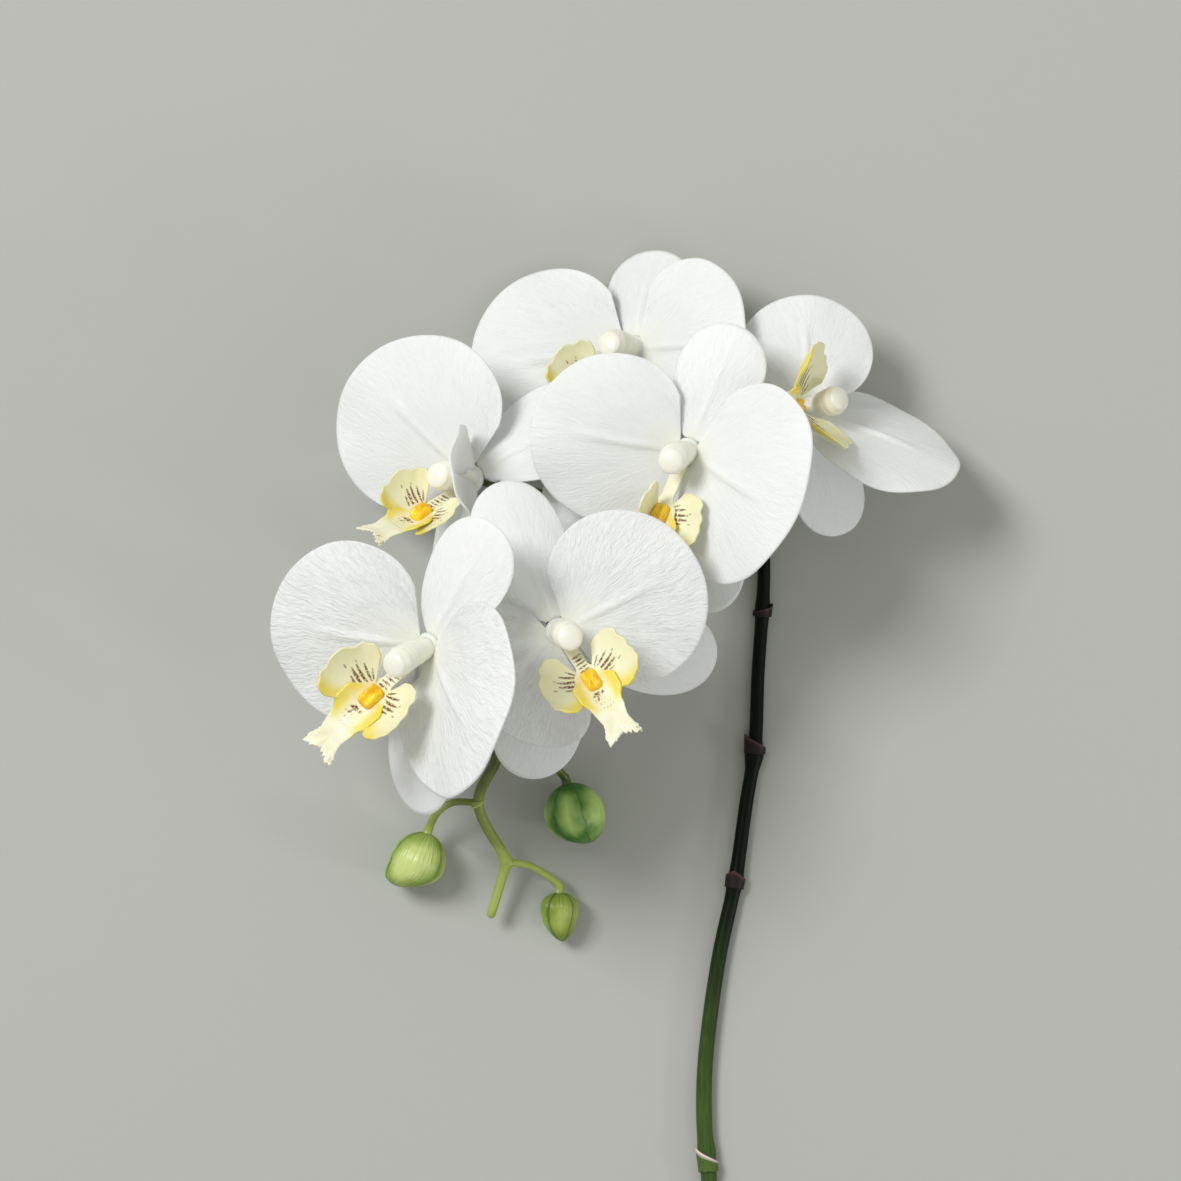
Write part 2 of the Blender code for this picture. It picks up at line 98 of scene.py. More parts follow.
def sheet(across, along, point, closed=False):
    """A grid of squares whose corners run over t in -1..1 and u in 0..1, each put at point(t, u).
    Its UV map keeps t and u. A closed one is rolled up into a skin with both ends filled."""
    bm = bmesh.new()
    bm.loops.layers.uv.new("Growth")
    bmesh.ops.create_grid(bm, x_segments=across, y_segments=along, size=1, calc_uvs=True)
    for vert in bm.verts:
        vert.co = point(vert.co.x, (vert.co.y + 1) / 2)
    if closed:
        bmesh.ops.remove_doubles(bm, verts=bm.verts, dist=0.0005)
        bmesh.ops.holes_fill(bm, edges=[edge for edge in bm.edges if edge.is_boundary], sides=0)
        bmesh.ops.recalc_face_normals(bm, faces=bm.faces)
    return bm


def piece(name, bm, slot, *materials):
    """A finished piece from a bmesh in the drawing's millimetres, which rides on the spray."""
    for vert in bm.verts:
        vert.co = (vert.co - ORIGIN) * MM
    mesh = bpy.data.meshes.new(name)
    bm.to_mesh(mesh)
    bm.free()
    mesh.shade_smooth()
    for mat in materials:
        mesh.materials.append(mat)
    ob = bpy.data.objects.new(name, mesh)
    bpy.context.scene.collection.objects.link(ob)
    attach(ob, "root")
    return ob


def smooth_path(points, steps):
    """Points of a smooth curve through the given ones, by Catmull-Rom spans."""
    spots = [Vector(p) for p in [points[0]] + list(points) + [points[-1]]]
    path = []
    for before, start, end, after in zip(spots, spots[1:], spots[2:], spots[3:]):
        for step in range(steps):
            t = step / steps
            rise = (end - before) * t
            bend = (2 * before - 5 * start + 4 * end - after) * t * t
            even = (3 * start - before - 3 * end + after) * t**3
            path.append((2 * start + rise + bend + even) / 2)
    path.append(spots[-1])
    return path


def stalk(path, radii, around):
    """A round stalk along a path, its cross-section carried along without twisting."""
    turns = []
    heading = (path[1] - path[0]).normalized()
    turn = heading.to_track_quat("Z", "Y")
    for index in range(len(path)):
        ahead = path[min(index + 1, len(path) - 1)] - path[max(index - 1, 0)]
        turn = heading.rotation_difference(ahead) @ turn
        heading = ahead.normalized()
        turns.append(turn.copy())

    def point(t, u):
        at = round(u * (len(path) - 1))
        angle = math.pi * t
        rim = Vector((math.cos(angle), math.sin(angle), 0)) * radii[at]
        spot = path[at] + turns[at] @ rim
        spot.z = max(spot.z, 0)
        return spot

    return sheet(around, len(path) - 1, point, closed=True)


def stem_radius(spot, radius):
    """The stem's radius, swollen a little at each of its nodes."""
    for x, y, swell in STEM_NODES:
        near = (Vector((x, y)) - spot.xy).length / NODE_REACH
        radius += swell * math.exp(-near * near)
    return radius


# Waxy skin on very dark tissue: a weak and broad highlight runs along it
stem_mat, stem_shader = finish("Orchid stem, dark waxy green", Roughness=0.42, Specular_IOR_Level=0.12)
stem_at = node(stem_mat, "TexCoord", {}).outputs["Object"]
stem_y = node(stem_mat, "SeparateXYZ", {0: stem_at}).outputs["Y"]
# Green at the cut, nearly black from the second node up
stem_dark = node(stem_mat, "MapRange", {0: stem_y, 1: -0.10, 2: 0.0}, interpolation_type="SMOOTHSTEP")
stem_long = node(stem_mat, "Mapping", {"Vector": stem_at, "Scale": (1, 0.12, 1)})
# Faint streaks along the stem, 1 mm wide
stem_streak = node(stem_mat, "TexNoise", {"Vector": stem_long.outputs[0], "Scale": 900, "Detail": 4})
stem_mottle = node(
    stem_mat, "Mix", {0: stem_streak.outputs[0], 6: linear("20361A"), 7: linear("52702C")},
    data_type="RGBA",
)
stem_colour = node(
    stem_mat, "Mix", {0: stem_dark.outputs[0], 6: stem_mottle.outputs[2], 7: linear("040D03")},
    data_type="RGBA",
)
stem_bump = node(stem_mat, "Bump", {"Height": stem_streak.outputs[0], "Strength": 0.25, "Distance": 0.0002})
stem_mat.node_tree.links.new(stem_colour.outputs[2], stem_shader.inputs["Base Color"])
stem_mat.node_tree.links.new(stem_bump.outputs[0], stem_shader.inputs["Normal"])

whole_path = smooth_path([spot[:3] for spot in MAIN_PATH], PATH_STEPS)
whole_radii = [spot.x for spot in smooth_path([(spot[3], 0, 0) for spot in MAIN_PATH], PATH_STEPS)]
whole_radii = [stem_radius(*pair) for pair in zip(whole_path, whole_radii)]
split = DARK_END * PATH_STEPS + 1
main_stem = piece("main_stem", stalk(whole_path[:split], whole_radii[:split], 28), "stem", stem_mat)
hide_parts("stem")


# The green end of the stem and its side stalks
# Past the first blooms the stem is thinner and fresh green. It zigzags at its tip, and at each
# turn a side stalk leaves it and ends in a flared seat behind a bloom, or on a closed bud.

# The radius and the length of a stalk's flared end, and a stalk's radius, mm
HUB_RADIUS = 4.5
HUB_DEPTH = 6.0
STALK_RADIUS = 1.25
# Each bloom's place is its seat. face is how far it leans from straight up, as a slope to the right
# and to the top. top is the heading of its dorsal side in degrees. lip is degrees turned sideways and
# lifted forward, size, mm that its end curls forward, degrees that its right and left side lobes
# rise, and their size. Each blade has degrees round from the dorsal side, degrees lifted forward,
# degrees of twist, length and width.
BLOOMS = {
    "a": {
        "place": (-56.3, -19.5, 80), "face": (-0.7, -0.3), "top": 62, "lip": (-7, 40, 1.05, 2, 22, 21, 0.96),
        "petal_left": (115, 20, 0, 0.97, 0.97), "petal_right": (-89, 33, 0, 0.99, 1.05),
        "sepal_dorsal": (3, -4, 0, 0.84, 1.0), "sepal_left": (141, -2, 8, 1.0, 1.0),
        "sepal_right": (-163, -4, 8, 1.13, 1.0),
    },
    "b": {
        "place": (-11, -14.5, 74), "face": (0.15, 0.0), "top": 116, "lip": (1, 37, 1.0, 4, 9, 16, 0.95),
        "petal_left": (102, -20, 0, 0.68, 1.0), "petal_right": (-88, 14, 0, 0.9, 0.9),
        "sepal_dorsal": (-4, -5, 0, 0.93, 1.0), "sepal_left": (144, -27, 8, 1.0, 1.0),
        "sepal_right": (-127, -6, 8, 0.97, 1.0),
    },
    "c": {
        "place": (-42, 39.5, 40), "face": (-0.65, 0.15), "top": 43, "lip": (20, 42, 0.95, 15, 34, 16, 0.88),
        "petal_left": (93, 26, 0, 0.96, 0.97), "petal_right": (-44, 78, 14, 0.55, 0.5),
        "sepal_dorsal": (-2, -18, 0, 0.9, 1.1), "sepal_left": (120, -3.5, 8, 1.0, 1.0),
        "sepal_right": (-150, -18, 8, 0.9, 1.0),
    },
    "d": {
        "place": (15.7, 86.7, 20), "face": (-0.5, 0.2), "top": 82, "lip": (-30, 22, 0.85, 0, 34, 4, 1.05),
        "petal_left": (104, 22, 0, 0.98, 0.98), "petal_right": (-84, 5, 0, 0.74, 0.93),
        "sepal_dorsal": (3, -9, 0, 0.63, 1.0), "sepal_left": (138, -1, 8, 0.75, 1.0),
        "sepal_right": (-164, -5, 8, 0.9, 1.0),
    },
    "e": {
        "place": (34.5, 49.1, 54), "face": (-0.3, -0.1), "top": 66, "lip": (7, 20, 1.0, -10, 65, 1, 0.8),
        "petal_left": (104, 18, 0, 0.93, 0.87), "petal_right": (-90, 28, 0, 0.9, 1.06),
        "sepal_dorsal": (4, -4, 0, 0.77, 1.0), "sepal_left": (137, -6, 8, 1.03, 1.0),
        "sepal_right": (-150, -4, 8, 0.96, 1.0),
    },
    "f": {
        "place": (76, 64.3, 33), "face": (1.0, 0.3), "top": 12, "lip": (-3, 31, 0.79, 0, 18, 22, 1.5),
        "petal_left": (81, 8, -42, 0.67, 0.7), "petal_right": (-44, 38, -22, 0.98, 0.75),
        "sepal_dorsal": (-10, -6, 0, 0.62, 0.8), "sepal_left": (192, -84, 0, 0.42, 0.7),
        "sepal_right": (-83, 4, 8, 0.74, 1.05),
    },
}
# A bloom's stalk has the point of the stem that it leaves, a point that it bends at, and how far
# behind the seat it runs straight. A bud's has the point that it leaves and those that it bends at.
BLOOM_STALKS = {
    "a": (21, (-56.5, -23, 57), 10), "b": (19, (-16, -8, 45), 14), "c": (18, (-28, 38, 22), 14),
    "d": (16, (24, 76, 8), 14), "e": (15, (45, 52, 28), 14), "f": (14, (64, 58, 16), 14),
}
BUD_STALKS = {
    "1": (24, [(-49.5, -76.5, 16), (-55.5, -80.5, 14.5)]),
    "2": (23, [(-24, -60.5, 20), (-14.5, -62.7, 18)]),
    "3": (25, [(-22.5, -99.5, 11), (-15.5, -103.5, 9.5)]),
}
# Each bud's middle, length and width, and the heading of its free end in degrees
BUDS = {
    "1": ((-62.4, -98.2, 10.9), 20.6, 21.4, 252),
    "2": ((-5.8, -81.0, 12.0), 23.0, 22.0, 285),
    "3": ((-11.2, -118.4, 7.2), 18.0, 13.8, 272),
}
# How far a bud's free end points down, as a slope
BUD_DROOP = 0.05
# A bloom's seat: distances along it with its radius there, and how far it reaches past the blades
SEAT_WIDTHS = [(3, 3.4), (5.2, 5.2), (6.4, 4.7), (7.6, 3.9), (9.4, 3.0)]
SEAT_TOP = 5
# The green end's radius where it starts, and how much thinner it gets, mm
END_RADIUS = 2.3
END_TAPER = 0.6
# The rounded tip of the green end: its last radii, and where its last points lie on its last step
END_RADII = [1.7, 1.6, 1.5, 1.4, 1.25, 0.9, 0.6, 0.2]
END_SHARES = (0.15, 0.4, 0.65, 0.85, 0.95, 1.0)
# The zigzag's turns: how close the extra points lie to them, and how far the stem swells there
TURN_SHARE = 0.16
TURN_SWELL = 0.45
TURN_REACH = 2.4
# A bloom's stalk flares over its last span, and is green for this many steps of it
GREEN_STEPS = 2
# How far a bud's stalk reaches into the bud, mm, and how much it widens to there, as a share
BUD_GRIP = 0.4
BUD_STALK_SWELL = 0.4


def bloom_frame(letter):
    """The place of a bloom's seat: +Z is the way it faces and +Y is its dorsal side."""
    settings = BLOOMS[letter]
    facing = Vector((*settings["face"], 1)).normalized()
    heading = math.radians(settings["top"])
    up = Vector((math.cos(heading), math.sin(heading), 0))
    up.z = -(up.x * facing.x + up.y * facing.y) / facing.z
    up.normalize()
    turn = Matrix((up.cross(facing), up, facing)).transposed()
    return Matrix.Translation(settings["place"]) @ turn.to_4x4()


def bud_direction(heading):
    """The way a bud points, from its stalk to its free end, a little downwards."""
    turn = math.radians(heading)
    return Vector((math.cos(turn), math.sin(turn), -BUD_DROOP)).normalized()


def ease(value):
    """A value kept from 0 to 1, with a soft start and end."""
    value = min(max(value, 0), 1)
    return value * value * (3 - 2 * value)


def between(knots, spot):
    """The value at spot along (spot, value) knots, eased between them."""
    for (start, low), (end, high) in zip(knots, knots[1:]):
        if spot <= end:
            return low + (high - low) * ease((spot - start) / (end - start))
    return knots[-1][1]


# Thick white tissue: matt, a little see-through, in faint patches 5 mm across
seat_mat, seat_shader = finish(
    "Orchid bloom seat, soft white", Roughness=0.6, Subsurface_Weight=0.3, Subsurface_Scale=0.002
)
seat_at = node(seat_mat, "TexCoord", {}).outputs["Object"]
seat_patch = node(seat_mat, "TexNoise", {"Vector": seat_at, "Scale": 180, "Detail": 2})
seat_colour = node(
    seat_mat, "Mix", {0: seat_patch.outputs[0], 6: linear("EEEFE4"), 7: linear("F3F4F0")},
    data_type="RGBA",
)
seat_mat.node_tree.links.new(seat_colour.outputs[2], seat_shader.inputs["Base Color"])
# Young waxy skin: a clearer highlight, with a faint grain 0.8 mm across
shoot_mat, shoot_shader = finish(
    "Orchid shoot, fresh waxy green", Roughness=0.32, Subsurface_Weight=0.15, Subsurface_Scale=0.002
)
shoot_at = node(shoot_mat, "TexCoord", {}).outputs["Object"]
shoot_patch = node(shoot_mat, "TexNoise", {"Vector": shoot_at, "Scale": 70, "Detail": 2})
# Darker olive towards the blooms and fresh light green at the tip, in uneven patches 10 mm long
shoot_y = node(shoot_mat, "SeparateXYZ", {0: shoot_at}).outputs["Y"]
shoot_fresh = node(shoot_mat, "MapRange", {0: shoot_y, 1: 0.045, 2: 0.005})
shoot_uneven = node(shoot_mat, "MapRange", {0: shoot_patch.outputs[0], 1: 0.3, 2: 0.7, 3: -0.35, 4: 0.35})
shoot_mix = node(
    shoot_mat, "Math", {0: shoot_fresh.outputs[0], 1: shoot_uneven.outputs[0]},
    operation="ADD", use_clamp=True,
)
shoot_colour = node(
    shoot_mat, "Mix", {0: shoot_mix.outputs[0], 6: linear("3F4E15"), 7: linear("A3B456")},
    data_type="RGBA",
)
shoot_grain = node(shoot_mat, "TexNoise", {"Vector": shoot_at, "Scale": 1200, "Detail": 3})
shoot_bump = node(shoot_mat, "Bump", {"Height": shoot_grain.outputs[0], "Strength": 0.2, "Distance": 0.0002})
shoot_mat.node_tree.links.new(shoot_colour.outputs[2], shoot_shader.inputs["Base Color"])
shoot_mat.node_tree.links.new(shoot_bump.outputs[0], shoot_shader.inputs["Normal"])

# The zigzag is straight between its turns, so each turn gets two more points close to it
zigzag = [Vector(spot[:3]) for spot in MAIN_PATH[DARK_END - 1 :]]
for turn_at in (-2, -3, -4):
    before, here, after = zigzag[turn_at - 1], zigzag[turn_at], zigzag[turn_at + 1]
    place = len(zigzag) + turn_at
    zigzag[place : place + 1] = [here.lerp(before, TURN_SHARE), here, here.lerp(after, TURN_SHARE)]
end_path = smooth_path(zigzag, PATH_STEPS)
end_radii = [END_RADIUS - END_TAPER * at / len(end_path) for at in range(len(end_path))]
for turn_at in (-3, -6):
    swollen = zigzag[turn_at]
    for at, spot in enumerate(end_path):
        end_radii[at] += TURN_SWELL * math.exp(-(((spot - swollen).length / TURN_REACH) ** 2))
end_path[-1:] = [end_path[-2].lerp(end_path[-1], share) for share in END_SHARES]
end_radii[-3:] = END_RADII
piece("green_end", stalk(end_path, end_radii, 24), "stem", shoot_mat)
for letter, (start, bend, straight) in BLOOM_STALKS.items():
    seat_frame = bloom_frame(letter)
    facing = Vector(seat_frame.col[2][:3])
    seat = Vector(BLOOMS[letter]["place"])
    route = [MAIN_PATH[start][:3], bend, seat - facing * straight, seat - facing * HUB_DEPTH, seat]
    path = smooth_path(route, PATH_STEPS)
    shares = [(step / PATH_STEPS) ** 1.4 for step in range(GREEN_STEPS + 1)]
    flare = [STALK_RADIUS + (HUB_RADIUS - STALK_RADIUS) * share for share in shares]
    radii = [STALK_RADIUS] * (len(path) - PATH_STEPS - 1) + flare
    green_path = path[: len(radii)]
    piece("bloom_" + letter + "_stalk", stalk(green_path, radii, 20), "stem", shoot_mat)
    # The white seat goes on from the green part's end, a little wider, and up past the blades
    rise = facing * SEAT_TOP
    top = smooth_path([green_path[-1], path[-4], seat, seat + rise / 2, seat + rise], 4)
    widths = [(0, flare[-1] + 0.1)] + SEAT_WIDTHS
    radii = [between(widths, (spot - top[0]).length) for spot in top]
    piece("bloom_" + letter + "_seat", stalk(top, radii, 24), "petal", seat_mat)
for number, (start, bends) in BUD_STALKS.items():
    middle, length, width, heading = BUDS[number]
    direction = bud_direction(heading)
    end = Vector(middle) - direction * (length / 2 - BUD_GRIP)
    path = smooth_path([MAIN_PATH[start][:3]] + bends + [end - direction * 3, end], PATH_STEPS)
    along = [step / len(path) for step in range(len(path))]
    radii = [STALK_RADIUS * (1.05 + BUD_STALK_SWELL * ease(1.6 * share - 0.6)) for share in along]
    piece("bud_" + number + "_stalk", stalk(path, radii, 18), "stem", shoot_mat)


# The bracts
# At each node a scale-like leaf clasps the stem: dry and nearly black on the upper ones, and green
# on the lowest, with a pale pinkish rim. Each is a thin sleeve with one pointed side, slit behind.

# Each bract's place, length and radius, the degrees that its pointed side is rolled round, and
# whether the main stem or its green end carries it
BRACTS = {
    "top": ((62.5, -9, 3.2), 5.0, 3.0, 200, "stem"),
    "upper": ((60.1, -58, 2.9), 7.0, 3.5, 20, "stem"),
    "middle": ((52.7, -105, 2.8), 6.5, 3.1, 75, "stem"),
    "lower": ((42.2, -207, 2.9), 9.0, 3.25, 20, "stem"),
    "turn_first": ((-40.9, -76.4, 17), 3.0, 1.9, 180, "end"),
    "turn_second": ((-29.7, -98.0, 12), 3.0, 1.9, 0, "end"),
}
# A bract's wall, its room round the stem and how far its pointed side flares, mm
BRACT_WALL = 0.35
BRACT_ROOM = 0.1
BRACT_FLARE = 0.45
# Half the degrees that a bract reaches round its stem, and how long its slit side is, as a share
BRACT_WRAP = 172
BRACT_BACK = 0.3
# Squares round a bract and along it
BRACT_GRID = (32, 10)
BRACT_COLOURS = {
    "stem": ("Dry bract, papery nearly black", "0D0A08", "211510", "4C362E"),
    "lower": ("Young bract, thin green with a pale rim", "2F4716", "5C7A2C", "E2CFC8"),
    "end": ("Small green bract", "8A9C4A", "A3B456", "C9D296"),
}


def bract_tissue(name, dark, light, rim):
    """Thin bract tissue: dull, with faint veins 1.4 mm across, and its free rim dried paler."""
    mat, shader = finish(name, Roughness=0.55, Specular_IOR_Level=0.3)
    at = node(mat, "TexCoord", {}).outputs["Object"]
    vein = node(mat, "TexNoise", {"Vector": at, "Scale": 700, "Detail": 4})
    skin = node(mat, "Mix", {0: vein.outputs[0], 6: linear(dark), 7: linear(light)}, data_type="RGBA")
    uv = node(mat, "UVMap", {}, uv_map="Growth").outputs[0]
    along = node(mat, "SeparateXYZ", {0: uv}).outputs["Y"]
    edge = node(mat, "MapRange", {0: along, 1: 0.72, 2: 0.92})
    rimmed = node(mat, "Mix", {0: edge.outputs[0], 6: skin.outputs[2], 7: linear(rim)}, data_type="RGBA")
    bump = node(mat, "Bump", {"Height": vein.outputs[0], "Strength": 0.3, "Distance": 0.0002})
    mat.node_tree.links.new(rimmed.outputs[2], shader.inputs["Base Color"])
    mat.node_tree.links.new(bump.outputs[0], shader.inputs["Normal"])
    return mat


bract_mats = {kind: bract_tissue(*colours) for kind, colours in BRACT_COLOURS.items()}
for name, (place, length, radius, roll, carrier) in BRACTS.items():
    carrier_path = whole_path if carrier == "stem" else end_path
    near = min(range(len(carrier_path) - 1), key=lambda at: (carrier_path[at] - Vector(place)).length)
    heading = (carrier_path[near + 1] - carrier_path[near]).normalized()
    turn = heading.to_track_quat("Z", "Y")

    def bract_point(t, u):
        angle = math.radians(BRACT_WRAP * t + roll)
        girth = radius + BRACT_FLARE * u * u * (1 - abs(t)) + BRACT_ROOM
        reach = length * (BRACT_BACK + (1 - BRACT_BACK) * (1 - abs(t)) ** 1.3)
        spot = Vector((math.cos(angle) * girth, math.sin(angle) * girth, u * reach - length / 3))
        spot = carrier_path[near] + turn @ spot
        spot.z = max(spot.z, BRACT_WALL)
        return spot

    mat = bract_mats["lower" if name == "lower" else carrier]
    bract = piece("bract_" + name, sheet(*BRACT_GRID, bract_point), "stem", mat)
    wall = bract.modifiers.new("Wall", "SOLIDIFY")
    wall.thickness = BRACT_WALL * MM
    wall.offset = 1


# The buds
# Closed flowers: three green sepals pressed edge to edge into a fat drop, pointed at its free end,
# with waxy skin and a seam where one sepal laps over the next.

# A bud's darker and its lighter green
BUD_COLOURS = {"1": ("8AA43A", "C8D684"), "2": ("3A7C10", "BADA78"), "3": ("7C942C", "AEBE5E")}
# Degrees round the bud of its seams from its right side, how far its tip leans right in mm, degrees
# that it turns on its stalk, and its profile: its length and its width as shares of those in BUDS,
# where it is widest, from -1 at the stalk to 1 at the tip, and how pointed its tip is
BUD_SEAMS = {"1": (38, 160, 275), "2": (74, 132, 285), "3": (48, 128, 270)}
BUD_LEAN = {"1": -4.6, "2": 2.6, "3": 0.8}
BUD_TURNS = {"1": -3, "2": 0, "3": 0}
BUD_PROFILES = {"1": (1.07, 0.92, 0.03, 0.04), "2": (1, 1, 0.0, 0.14), "3": (1, 1, -0.4, 0.2)}
# A seam's half width and depth, how high one sepal laps over the next and how far, in mm, and how
# much of a turn a seam makes round the bud from stalk to tip
SEAM_WIDTH = 0.34
SEAM_DEPTH = 0.4
LAP_HEIGHT = 0.5
LAP_REACH = 5
SEAM_TWIST = 0.06
# How far from a seam a sepal's skin is palest, mm
PALE_FROM_SEAM = 7
# Squares round a bud and along it
BUD_GRID = (96, 64)

for number, (middle, length, width, heading) in BUDS.items():
    longer, wider, widest, pointed = BUD_PROFILES[number]
    length, width = length * longer, width * wider
    # Waxy skin that light enters a little, with a soft highlight
    bud_mat, bud_shader = finish(
        "Orchid bud " + number + ", waxy green", Roughness=0.34, Subsurface_Weight=0.08,
        Subsurface_Scale=0.0015,
    )
    bud_at = node(bud_mat, "TexCoord", {}).outputs["Object"]
    # Blotches about 6 mm across, paler along the middle of each sepal, and fine veins to the tip
    blotch = node(bud_mat, "TexNoise", {"Vector": bud_at, "Scale": 110, "Detail": 3})
    pale = node(bud_mat, "Attribute", {}, attribute_name="pale").outputs["Fac"]
    bud_shade = node(bud_mat, "Math", {0: pale, 1: 0.45, 2: blotch.outputs[0]}, operation="MULTIPLY_ADD")
    blotch_mix = node(bud_mat, "MapRange", {0: bud_shade.outputs[0], 1: 0.42, 2: 0.95})
    bud_dark, bud_light = BUD_COLOURS[number]
    skin = node(
        bud_mat, "Mix", {0: blotch_mix.outputs[0], 6: linear(bud_dark), 7: linear(bud_light)},
        data_type="RGBA",
    )
    seam = node(bud_mat, "Attribute", {}, attribute_name="seam")
    seamed = node(
        bud_mat, "Mix", {0: seam.outputs["Fac"], 6: skin.outputs[2], 7: linear("37561A")}, data_type="RGBA"
    )
    bud_uv = node(bud_mat, "UVMap", {}, uv_map="Growth")
    bud_long = node(bud_mat, "Mapping", {"Vector": bud_uv.outputs[0], "Scale": (60, 3, 1)})
    veins = node(bud_mat, "TexNoise", {"Vector": bud_long.outputs[0], "Scale": 1, "Detail": 2})
    bud_bump = node(bud_mat, "Bump", {"Height": veins.outputs[0], "Strength": 0.8, "Distance": 0.0008})
    bud_mat.node_tree.links.new(seamed.outputs[2], bud_shader.inputs["Base Color"])
    bud_mat.node_tree.links.new(bud_bump.outputs[0], bud_shader.inputs["Normal"])

    turn = bud_direction(heading + BUD_TURNS[number]).to_track_quat("Z", "Y")

    def bud_seam(t, u):
        """How close a spot on the bud is to a seam, 0 to 1, and how far past the seam it is."""
        here = t / 2 - SEAM_TWIST * (u - 0.5)
        turns = [here - degrees / 360 for degrees in BUD_SEAMS[number]]
        off = min(((share + 0.5) % 1 - 0.5 for share in turns), key=abs) * math.tau
        arc = off * width / 2 * math.sin(math.pi * min(max(u, 0.06), 0.94))
        return math.exp(-((arc / SEAM_WIDTH) ** 2)), arc

    def bud_point(t, u):
        angle = math.pi * t
        level = -math.cos(math.pi * u)
        past = level - widest
        share = min(past / (1 - widest) if past > 0 else -past / (1 + widest), 1)
        girth = (1 - share * share) ** (0.5 + pointed * ease(1.6 * past))
        close, arc = bud_seam(t, u)
        lap = LAP_HEIGHT * ease(1 - arc / LAP_REACH) if arc > 0 else 0
        spread = girth * (width / 2 - SEAM_DEPTH * close + lap)
        lean = BUD_LEAN[number] * ease(level) * level
        spot = Vector((math.cos(angle) * spread + lean, math.sin(angle) * spread, level * length / 2))
        return Vector(middle) + turn @ spot

    bm = sheet(*BUD_GRID, bud_point, closed=True)
    bud = piece("bud_" + number + "_skin", bm, "bud", bud_mat)
    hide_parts("bud_" + number)
    seams = bud.data.attributes.new("seam", "FLOAT", "POINT")
    pales = bud.data.attributes.new("pale", "FLOAT", "POINT")
    back = turn.inverted()
    for vert in bud.data.vertices:
        spot = back @ (vert.co / MM + ORIGIN - Vector(middle))
        level = min(max(spot.z / (length / 2), -1), 1)
        spot.x -= BUD_LEAN[number] * ease(level) * level
        around = math.atan2(spot.y, spot.x) / math.pi
        close, arc = bud_seam(around, math.acos(-level) / math.pi)
        seams.data[vert.index].value = close * 0.8
        pales.data[vert.index].value = ease(abs(arc) / PALE_FROM_SEAM) * ease((0.95 - abs(level)) * 1.6)


# The sepals
# Three in each bloom, behind its petals: one at its dorsal side and two below. Each is a blunt
# oval of soft white tissue that bends back, seated round the flared end of the stalk.

SEPAL_LENGTH = 56.0
SEPAL_WIDTH = 31.0
SEPAL_END = math.radians(166)
SEPAL_CLAW = 6.0
# The gap between the seated pieces of a bloom, mm
CLEAR = 0.3
SEPAL_START = HUB_RADIUS + CLEAR
SEPAL_SEAT = CLEAR
# A blade's thickness, and the room that it takes in its bloom, as in the CAD, mm
BLADE_WALL = 0.7
BLADE_ROOM = 0.8
# How far a sepal's sides and its tip bend back, and how high and how wide its midrib is, mm
SEPAL_CUP = 2.2
SEPAL_BEND = 5.0
SEPAL_RIB = 0.5
SEPAL_RIB_WIDTH = 1.3
# Squares across a sepal and along it
SEPAL_GRID = (72, 30)


def petal_tissue(name, rib_width, relief):
    """White petal tissue: matt, a little see-through, with fine raised veins that fan out from
    the claw. Veins are 1.5 mm apart at the rim, and relief is their height in mm, both drawn a
    little coarser than the real ones."""
    mat, shader = finish(
        name, Roughness=0.5, Subsurface_Weight=0.6, Subsurface_Radius=(1.0, 0.95, 0.86),
        Subsurface_Scale=0.002, Sheen_Weight=0.08, Specular_IOR_Level=0.35,
    )
    uv = node(mat, "UVMap", {}, uv_map="Growth").outputs[0]
    split = node(mat, "SeparateXYZ", {0: uv})
    wander = node(mat, "TexNoise", {"Vector": uv, "Scale": 5, "Detail": 2})
    wandered = node(
        mat, "VectorMath", {0: wander.outputs["Color"], 1: (0.045, 0.03, 0)}, operation="MULTIPLY"
    )
    bent = node(mat, "VectorMath", {0: uv, 1: wandered.outputs[0]}, operation="ADD")
    fine = node(mat, "Mapping", {"Vector": bent.outputs[0], "Scale": (rib_width, 9, 1)})
    fine_veins = node(
        mat, "TexNoise", {"Vector": fine.outputs[0], "Scale": 1, "Detail": 2, "Distortion": 0.9}
    )
    broad = node(mat, "Mapping", {"Vector": bent.outputs[0], "Scale": (rib_width * 0.3, 3, 1)})
    broad_veins = node(mat, "TexNoise", {"Vector": broad.outputs[0], "Scale": 1, "Detail": 1})
    veins = node(mat, "Mix", {0: 0.35, 2: fine_veins.outputs[0], 3: broad_veins.outputs[0]})
    # Veins fade towards the claw, where they crowd together
    fade = node(mat, "MapRange", {0: split.outputs["Y"], 1: 0.06, 2: 0.4, 3: 0.12, 4: 1.0})
    height = node(mat, "Math", {0: veins.outputs[0], 1: fade.outputs[0]}, operation="MULTIPLY")
    bump = node(mat, "Bump", {"Height": height.outputs[0], "Strength": 1.0, "Distance": relief * MM})
    claw = node(mat, "MapRange", {0: split.outputs["Y"], 1: 0.0, 2: 0.22})
    white = node(
        mat, "Mix", {0: claw.outputs[0], 6: linear("EFF0E0"), 7: linear("F3F5F3")}, data_type="RGBA"
    )
    # Painted shade: the white is darkened in the hollows between the raised veins, more so where their
    # relief is higher
    painted_hollow_shade = node(mat, "MapRange", {0: veins.outputs[0], 1: 0.35, 2: 0.6, 3: 1 - relief / 15, 4: 1.0})
    white_with_painted_shade = node(
        mat, "Mix", {0: 1.0, 6: white.outputs[2], 7: painted_hollow_shade.outputs[0]},
        data_type="RGBA", blend_type="MULTIPLY",
    )
    mat.node_tree.links.new(white_with_painted_shade.outputs[2], shader.inputs["Base Color"])
    mat.node_tree.links.new(bump.outputs[0], shader.inputs["Normal"])
    return mat


